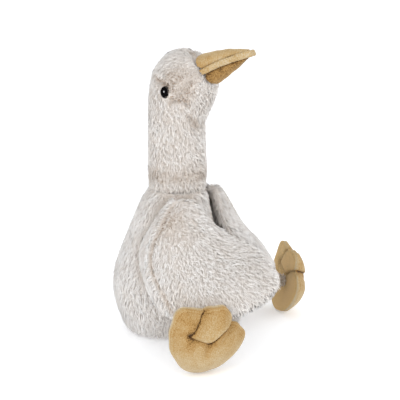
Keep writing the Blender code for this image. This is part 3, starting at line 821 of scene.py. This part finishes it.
def suede_finish(name, grain, speckle, pale):
    """Brushed suede: a short nap whose patches of light are painted into it, darker with the painted shade
    and tone that the piece carries.
    """
    finish, nodes, links, shader = material(name)
    place = nodes.new("ShaderNodeTexCoord")
    # Patches of painted light and shade where the nap catches the light.
    rubbed_and_painted_shading = nodes.new("ShaderNodeTexNoise")
    rubbed_and_painted_shading.inputs["Scale"].default_value = 75.0
    rubbed_and_painted_shading.inputs["Detail"].default_value = 5.0
    nap = nodes.new("ShaderNodeTexNoise")
    nap.inputs["Scale"].default_value = grain
    nap.inputs["Detail"].default_value = 4.0
    nap.inputs["Roughness"].default_value = 0.65
    # The piece's painted shade, painted light and tone.
    depth = nodes.new("ShaderNodeAttribute")
    depth.attribute_name = "painted_shading_and_tone"
    for texture in (rubbed_and_painted_shading, nap):
        links.new(place.outputs["Object"], texture.inputs["Vector"])
    blend = nodes.new("ShaderNodeMath")
    blend.operation = "MULTIPLY_ADD"
    blend.inputs[1].default_value = speckle
    level = nodes.new("ShaderNodeMapRange")
    level.inputs["To Min"].default_value = SUEDE_LEVEL - NAP_PAINTED_SHEEN_MOTTLE - speckle / 2
    level.inputs["To Max"].default_value = SUEDE_LEVEL + NAP_PAINTED_SHEEN_MOTTLE - speckle / 2
    links.new(rubbed_and_painted_shading.outputs["Fac"], level.inputs["Value"])
    links.new(nap.outputs["Fac"], blend.inputs[0])
    links.new(level.outputs["Result"], blend.inputs[2])
    less = nodes.new("ShaderNodeMath")
    less.operation = "SUBTRACT"
    links.new(blend.outputs["Value"], less.inputs[0])
    links.new(depth.outputs["Fac"], less.inputs[1])
    tones = nodes.new("ShaderNodeValToRGB")
    tones.color_ramp.elements[0].position = 0.02
    tones.color_ramp.elements[0].color = SUEDE_SHADE_DARKEST
    tones.color_ramp.elements[1].position = 0.98
    tones.color_ramp.elements[1].color = pale
    for position, colour in ((0.38, SUEDE_DARK), (0.70, SUEDE_MIDDLE)):
        tones.color_ramp.elements.new(position).color = colour
    links.new(less.outputs["Value"], tones.inputs["Fac"])
    links.new(tones.outputs["Color"], shader.inputs["Base Color"])
    bump = nodes.new("ShaderNodeBump")
    bump.inputs["Strength"].default_value = 0.5
    bump.inputs["Distance"].default_value = 0.0004
    links.new(nap.outputs["Fac"], bump.inputs["Height"])
    links.new(bump.outputs["Normal"], shader.inputs["Normal"])
    shader.inputs["Roughness"].default_value = 0.88
    shader.inputs["Specular IOR Level"].default_value = 0.2
    shader.inputs["Sheen Weight"].default_value = 0.35
    shader.inputs["Sheen Roughness"].default_value = 0.4
    shader.inputs["Sheen Tint"].default_value = (1.0, 0.86, 0.62, 1.0)
    return finish


def on_flat_line(flat, line):
    """How far points of the foot's own plane lie from a line on it, and the nearest points on it."""
    least = np.full(len(flat), np.inf)
    nearest = flat.copy()
    for start, end in zip(np.array(line[:-1]), np.array(line[1:])):
        reach = end - start
        share = ((flat - start) @ reach / (reach @ reach)).clip(0, 1)
        foot = start + share[:, None] * reach
        gap = np.linalg.norm(flat - foot, axis=1)
        closer = gap < least
        least[closer], nearest[closer] = gap[closer], foot[closer]
    return least, nearest


def inside_of(flat, line):
    """True for each point of the plane inside a closed line."""
    inside = np.zeros(len(flat), bool)
    corners = np.array(line)
    for (x0, y0), (x1, y1) in zip(corners, np.roll(corners, -1, axis=0)):
        if y0 != y1:
            crosses = (flat[:, 1] < y0) != (flat[:, 1] < y1)
            inside ^= crosses & (flat[:, 0] < x0 + (flat[:, 1] - y0) * (x1 - x0) / (y1 - y0))
    return inside


def foot_axes(side):
    """The foot's hub, and its axes: towards the other foot, up the foot, and out of the sole."""
    out = Vector((math.sin(FOOT_HEADING), -math.cos(FOOT_HEADING), 0.0))
    inward = Vector((-math.cos(FOOT_HEADING), -math.sin(FOOT_HEADING), 0.0))
    up = Vector((0.0, 0.0, math.cos(FOOT_LEAN))) + out * math.sin(FOOT_LEAN)
    sole = out * math.cos(FOOT_LEAN) - Vector((0.0, 0.0, math.sin(FOOT_LEAN)))
    flip = np.array([side, 1, 1])
    return [np.array(axis) * flip for axis in (FOOT_HUB, inward, up, sole)]


def on_sole(marks):
    """Where marks on the photograph lie on the right foot's plane: towards the other foot, and up."""
    hub, inward, up, _ = foot_axes(-1)
    out_of_hub = [np.array(place) - hub for place, _ in marked("right_foot", marks)]
    return tuple((place @ inward, place @ up) for place in out_of_hub)


inner_crease = (PAD_TOP,) + on_sole(INNER_CREASE_MARKS)
outer_crease = on_sole(OUTER_CREASE_MARKS) + PAD_OUTSIDE
toe_fold = inner_crease[-1:] + on_sole(FOLD_MARKS) + outer_crease[:1]
toe_pad = inner_crease + toe_fold[1:-1] + outer_crease
inner_pocket = on_sole(INNER_POCKET_MARKS)
outer_pocket = on_sole(OUTER_POCKET_MARKS)


def outline_of(node, hub, inward, up, around):
    """How far a packed foot reaches from its hub, all the way round, its toes a little squarer."""
    points = array_of(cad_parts[node].data.vertices, "co") - hub
    a, b = points @ inward, points @ up
    angle, reach = np.arctan2(a, b), np.hypot(a, b)
    beside = [np.abs(np.angle(np.exp(1j * (angle - turn)))) < RIM_WINDOW for turn in angle]
    rim = reach > RIM_SHARE * np.array([reach[near].max() for near in beside])
    order = np.argsort(angle[rim])
    turns = np.linspace(-math.pi, math.pi, around, endpoint=False)
    found = np.interp(turns, angle[rim][order], reach[rim][order], period=math.tau)
    for _ in range(3):
        found = (np.roll(found, 1) + 2 * found + np.roll(found, -1)) / 4
    for turn, more, width in TOE_CORNERS:
        found += more * np.exp(-(((turns - turn) / width) ** 2))
    return turns, found


def crease_foot(flat, sole_side):
    """How far the suede is raised over the foot's plane by the toe pads and drawn in at the creases, and how
    much darker it is painted: darker towards the toes, with painted shade along the creases, beside the fold
    and in the pockets."""
    inner, fold, outer = (on_flat_line(flat, line)[0] for line in (inner_crease, toe_fold, outer_crease))
    near = np.minimum(np.minimum(inner, fold), outer)
    pockets = np.minimum(on_flat_line(flat, inner_pocket)[0], on_flat_line(flat, outer_pocket)[0])
    on_pad = inside_of(flat, toe_pad + (PAD_FAR_CORNER,))
    raised = PAD_RISE * (1 - np.exp(-near / PAD_LIP)) * np.exp(-near / PAD_FADE)
    slope = -SLOPE_DEPTH * np.exp(-((np.minimum(fold, outer) / SLOPE_REACH) ** 1.5))
    slope += PAD_RISE * (1 - np.exp(-inner / PAD_LIP)) * np.exp(-((inner / INNER_PAD_FADE) ** 2))
    lift = np.where(on_pad, raised, slope)
    for line, part in zip((inner, fold, outer), CREASE_SHARES):
        lift -= CREASE_DEPTH * part * np.exp(-line / CREASE_HALF)
    lift -= POCKET_DEPTH * np.exp(-((pockets / POCKET_REACH) ** 2))
    toes = ((flat[:, 1] + 0.012) / 0.036).clip(0, 1)
    toes = toes * toes * (3 - 2 * toes)
    tops = ((flat[:, 1] - 0.018) / 0.022).clip(0, 1)
    # Darker towards the toes and over the top of the pad, paler at the heel. Then painted shade along the
    # creases, beside the fold and in the pockets.
    shade = np.where(on_pad, 0.22 * tops - 0.02, 0.20 * toes - 0.10 * (1 - toes))
    shade += INNER_LINE_SHADE * np.exp(-((inner / INNER_LINE_HALF) ** 2))
    shade += FOLD_LINE_SHADE * np.exp(-((fold / FOLD_LINE_HALF) ** 2))
    shade += np.where(on_pad, 0.25, 0.55) * np.exp(-((outer / OUTER_LINE_HALF) ** 2))
    shade += np.where(on_pad, 0.0, 0.20 * np.exp(-((np.minimum(fold, outer) / 0.0052) ** 2)))
    shade += 0.16 * np.exp(-((inner / 0.0040) ** 2))
    shade += 0.15 * np.exp(-((pockets / 0.0034) ** 2))
    # On the back the painted shade is weaker, and painted light makes the suede paler.
    if not sole_side:
        lift, shade = lift * BACK_LIFT, shade * BACK_SHADE - BACK_PAINTED_LIGHT
    return lift, shade


def sew_foot(name, side, suede, back_suede_painted_light):
    """A foot as two crowned faces of one grid, creased, and pinched where they are sewn together."""
    hub, inward, up, sole = foot_axes(side)
    around = FOOT_ROUND
    turns, reach = outline_of(name, hub, inward, up, around)
    points, shades, sizes = [], [], []
    for face, rings in ((1, SOLE_RINGS), (-1, BACK_RINGS)):
        share = 1 - (1 - np.linspace(0.02, 1.0, rings)) ** 1.2
        out = share[:, None] * reach[None, :]
        flat = np.column_stack([(out * np.sin(turns)).ravel(), (out * np.cos(turns)).ravel()])
        part = np.repeat(share, around)
        near, nearest = on_flat_line(flat, toe_pad)
        drawn = np.exp(-((near / 0.0010) ** 2)) * (part < 0.97) * 0.9
        flat += (nearest - flat) * drawn[:, None]
        inside = (1 - part) * np.tile(reach, rings)
        pad = FOOT_EDGE / 2 + (FOOT_THICKNESS - FOOT_EDGE) / 2 * (1 - part**3.2)
        lift, shade = crease_foot(flat, face > 0)
        seam = np.exp(-(((inside - 0.0022) / 0.0005) ** 2))
        pad += np.maximum(lift, -pad * 0.72) - 0.0004 * seam
        # Painted shade in the seam's groove, and painted light on the rim outside it.
        shade += 0.10 * seam - 0.10 * np.exp(-(((inside - 0.0012) / 0.0006) ** 2))
        height = face * pad - FOOT_CUP * part**2
        points.append(hub + flat[:, :1] * inward + flat[:, 1:] * up + height[:, None] * sole)
        shades.append(shade)
        sizes.append(rings)
    half = around * sizes[0]
    faces = []
    for start, rings, flipped in ((0, sizes[0], False), (half, sizes[1], True)):
        for ring in range(rings - 1):
            for turn in range(around):
                after = (turn + 1) % around
                corner = start + ring * around
                quad = (corner + turn, corner + after, corner + around + after, corner + around + turn)
                faces.append(quad[::-1] if flipped else quad)
        faces.append(tuple(range(start, start + around))[:: 1 if flipped else -1])
    rim, other_rim = half - around, half + (sizes[1] - 1) * around
    for turn in range(around):
        after = (turn + 1) % around
        faces.append((rim + turn, rim + after, other_rim + after, other_rim + turn))
    on_back = [min(face) >= half for face in faces]
    points = np.vstack(points)
    points[:, 2] = np.maximum(points[:, 2], FLOOR_CLEARANCE)
    mesh = bpy.data.meshes.new(f"{name}_suede")
    mesh.from_pydata(points.tolist(), [], faces if side < 0 else [f[::-1] for f in faces])
    mesh.shade_smooth()
    painted_shading_and_tone = mesh.attributes.new("painted_shading_and_tone", "FLOAT", "POINT")
    painted_shading_and_tone.data.foreach_set("value", np.concatenate(shades).astype(np.float32))
    mesh.materials.append(suede)
    mesh.materials.append(back_suede_painted_light)
    mesh.polygons.foreach_set("material_index", on_back)
    foot = bpy.data.objects.new(f"{name}_suede", mesh)
    bpy.context.scene.collection.objects.link(foot)
    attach(foot, "root")
    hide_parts(name)


suede = suede_finish("tan suede", 900.0, 1.45, SUEDE_PALE)
# The back of each foot is made paler and warmer with painted light.
back_suede_painted_light = suede_finish("back suede with painted light", 900.0, 1.45, SUEDE_BACK_PAINTED_LIGHT)
for side, name in ((-1, "right_foot"), (1, "left_foot")):
    sew_foot(name, side, suede, back_suede_painted_light)

# Bill
# Two small stuffed halves of the same suede, with a thick raw-cut strip sewn between them that runs
# round the tip. The strip's cut edge is open and spongy.
BILL_GRAIN = 0.0009
STRIP_GRAIN = 0.0006
BILL_ROOT = -0.0500
BILL_REACH = 0.0490
BILL_BOW = 0.0016
BILL_DRAWN_REACH = 0.0016
BILL_SWELL = 0.0006
BILL_SWELL_WAVE = 0.0085


def stuff_bill(node, grain, unevenness, wave, finish, tone, dark_at):
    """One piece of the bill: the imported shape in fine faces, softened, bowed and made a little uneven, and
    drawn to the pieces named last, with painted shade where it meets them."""
    part = even_copy(node, f"{node}_sewn", grain, 5)
    mesh = part.data
    points = array_of(mesh.vertices, "co")
    normals = array_of(mesh.vertices, "normal")
    shade = np.full(len(points), tone)
    for other, reach, strength, drawn in dark_at:
        tree = tree_of(other)
        for spot, point in enumerate(points):
            near, _, _, gap = tree.find_nearest(Vector(point), 0.010)
            if near is not None:
                shade[spot] += strength * math.exp(-gap / reach)
                points[spot] += (np.array(near) - point) * drawn * math.exp(-gap / BILL_DRAWN_REACH)
    rough = drift(points, wave, 4) + 0.6 * drift(points, wave * 0.45, 6)
    points += normals * (unevenness * (rough + 0.8) + BILL_SWELL * drift(points, BILL_SWELL_WAVE, 5))[:, None]
    along = ((BILL_ROOT - points[:, 1]) / BILL_REACH).clip(0, 1)
    points[:, 2] += BILL_BOW * np.sin(math.pi * along)
    mesh.vertices.foreach_set("co", points.ravel())
    mesh.update()
    mesh.shade_smooth()
    painted_shading_and_tone = mesh.attributes.new("painted_shading_and_tone", "FLOAT", "POINT")
    painted_shading_and_tone.data.foreach_set("value", shade.astype(np.float32))
    mesh.materials.append(finish)
    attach(part, "root")
    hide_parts(node)


strip = suede_finish("raw suede edge", 620.0, 1.60, SUEDE_PALE)
# Painted shade where each piece meets the strip or the head. The lower half, under the strip, is given
# painted shade all over.
over_strip = (("bill_welt", 0.0012, 0.02, 0.95), ("neck_and_head", 0.0022, 0.22, 0.0))
under_strip = (("bill_welt", 0.0035, 0.30, 0.4), ("neck_and_head", 0.0022, 0.22, 0.0))
by_head = (("neck_and_head", 0.0016, 0.15, 0.0),)
stuff_bill("upper_bill", BILL_GRAIN, 0.00008, 0.0016, suede, 0.04, over_strip)
stuff_bill("lower_bill", BILL_GRAIN, 0.00008, 0.0016, suede, 0.30, under_strip)
stuff_bill("bill_welt", STRIP_GRAIN, 0.00040, 0.0016, strip, -0.03, by_head)

# Eyes
# Polished black domes on shanks that go through the cloth, each held by a plastic washer inside.
DOME_ROUND = 64
DOME_RINGS = 18
DOME_NARROWED = 0.78
DOME_SKIRT = 0.0030


def glossy_finish():
    """Black glass-like plastic, with the faint haze of handling."""
    finish, nodes, links, shader = material("black eye")
    haze = nodes.new("ShaderNodeTexNoise")
    haze.inputs["Scale"].default_value = 300.0
    tones = nodes.new("ShaderNodeValToRGB")
    tones.color_ramp.elements[0].color = (0.002, 0.002, 0.0025, 1.0)
    tones.color_ramp.elements[1].color = (0.006, 0.0055, 0.0055, 1.0)
    links.new(haze.outputs["Fac"], tones.inputs["Fac"])
    links.new(tones.outputs["Color"], shader.inputs["Base Color"])
    shader.inputs["Roughness"].default_value = 0.05
    shader.inputs["Specular IOR Level"].default_value = 1.0
    shader.inputs["Coat Weight"].default_value = 1.0
    shader.inputs["Coat Roughness"].default_value = 0.03
    return finish


def washer_finish():
    """Natural moulded plastic, clouded a little."""
    finish, nodes, links, shader = material("washer plastic")
    cloud = nodes.new("ShaderNodeTexNoise")
    cloud.inputs["Scale"].default_value = 200.0
    tones = nodes.new("ShaderNodeValToRGB")
    tones.color_ramp.elements[0].color = (0.68, 0.68, 0.66, 1.0)
    tones.color_ramp.elements[1].color = (0.80, 0.80, 0.78, 1.0)
    links.new(cloud.outputs["Fac"], tones.inputs["Fac"])
    links.new(tones.outputs["Color"], shader.inputs["Base Color"])
    shader.inputs["Roughness"].default_value = 0.4
    return finish


def turn_dome(name, finish):
    """A smooth dome in the place of a packed eye. Its sides are drawn in, where the cloth folds
    over them."""
    points = array_of(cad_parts[name].data.vertices, "co")
    shank = array_of(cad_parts[f"{name}_washer"].data.vertices, "co").mean(0)
    front = unit((points.mean(0) - shank)[None])[0]
    along = (points - shank) @ front
    flat = points - shank - along[:, None] * front
    centre = flat[along > np.percentile(along, 70)].mean(0) + shank
    radius = np.linalg.norm(points - centre - ((points - centre) @ front)[:, None] * front, axis=1)
    widest = along[radius > 0.98 * radius.max()].max()
    up = unit((np.array([0.0, 0.0, 1.0]) - front[2] * front)[None])[0]
    across = np.cross(front, up) * DOME_NARROWED
    turns = np.arange(DOME_ROUND) / DOME_ROUND * math.tau
    rings = [(radius.max(), widest - DOME_SKIRT)]
    for ring in range(DOME_RINGS):
        lean = math.pi / 2 * ring / DOME_RINGS
        rings.append((radius.max() * math.cos(lean), widest + (along.max() - widest) * math.sin(lean)))
    around = np.cos(turns)[:, None] * across + np.sin(turns)[:, None] * up
    rows = [centre + around * wide + front * high for wide, high in rings]
    places = np.vstack(rows + [centre + front * along.max()])
    faces = [tuple(range(DOME_ROUND))[::-1]]
    for ring in range(DOME_RINGS):
        for turn in range(DOME_ROUND):
            a, b = ring * DOME_ROUND + turn, ring * DOME_ROUND + (turn + 1) % DOME_ROUND
            faces.append((a, b, b + DOME_ROUND, a + DOME_ROUND))
    last = DOME_RINGS * DOME_ROUND
    faces += [(last + turn, last + (turn + 1) % DOME_ROUND, len(places) - 1) for turn in range(DOME_ROUND)]
    mesh = bpy.data.meshes.new(f"{name}_dome")
    mesh.from_pydata(places.tolist(), [], faces)
    mesh.shade_smooth()
    mesh.materials.append(finish)
    dome = bpy.data.objects.new(f"{name}_dome", mesh)
    bpy.context.scene.collection.objects.link(dome)
    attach(dome, "root")
    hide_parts(name)


black = glossy_finish()
clouded = washer_finish()
for name in ("right_eye", "left_eye"):
    turn_dome(name, black)
    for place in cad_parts[f"{name}_washer"].material_slots:
        place.material = clouded
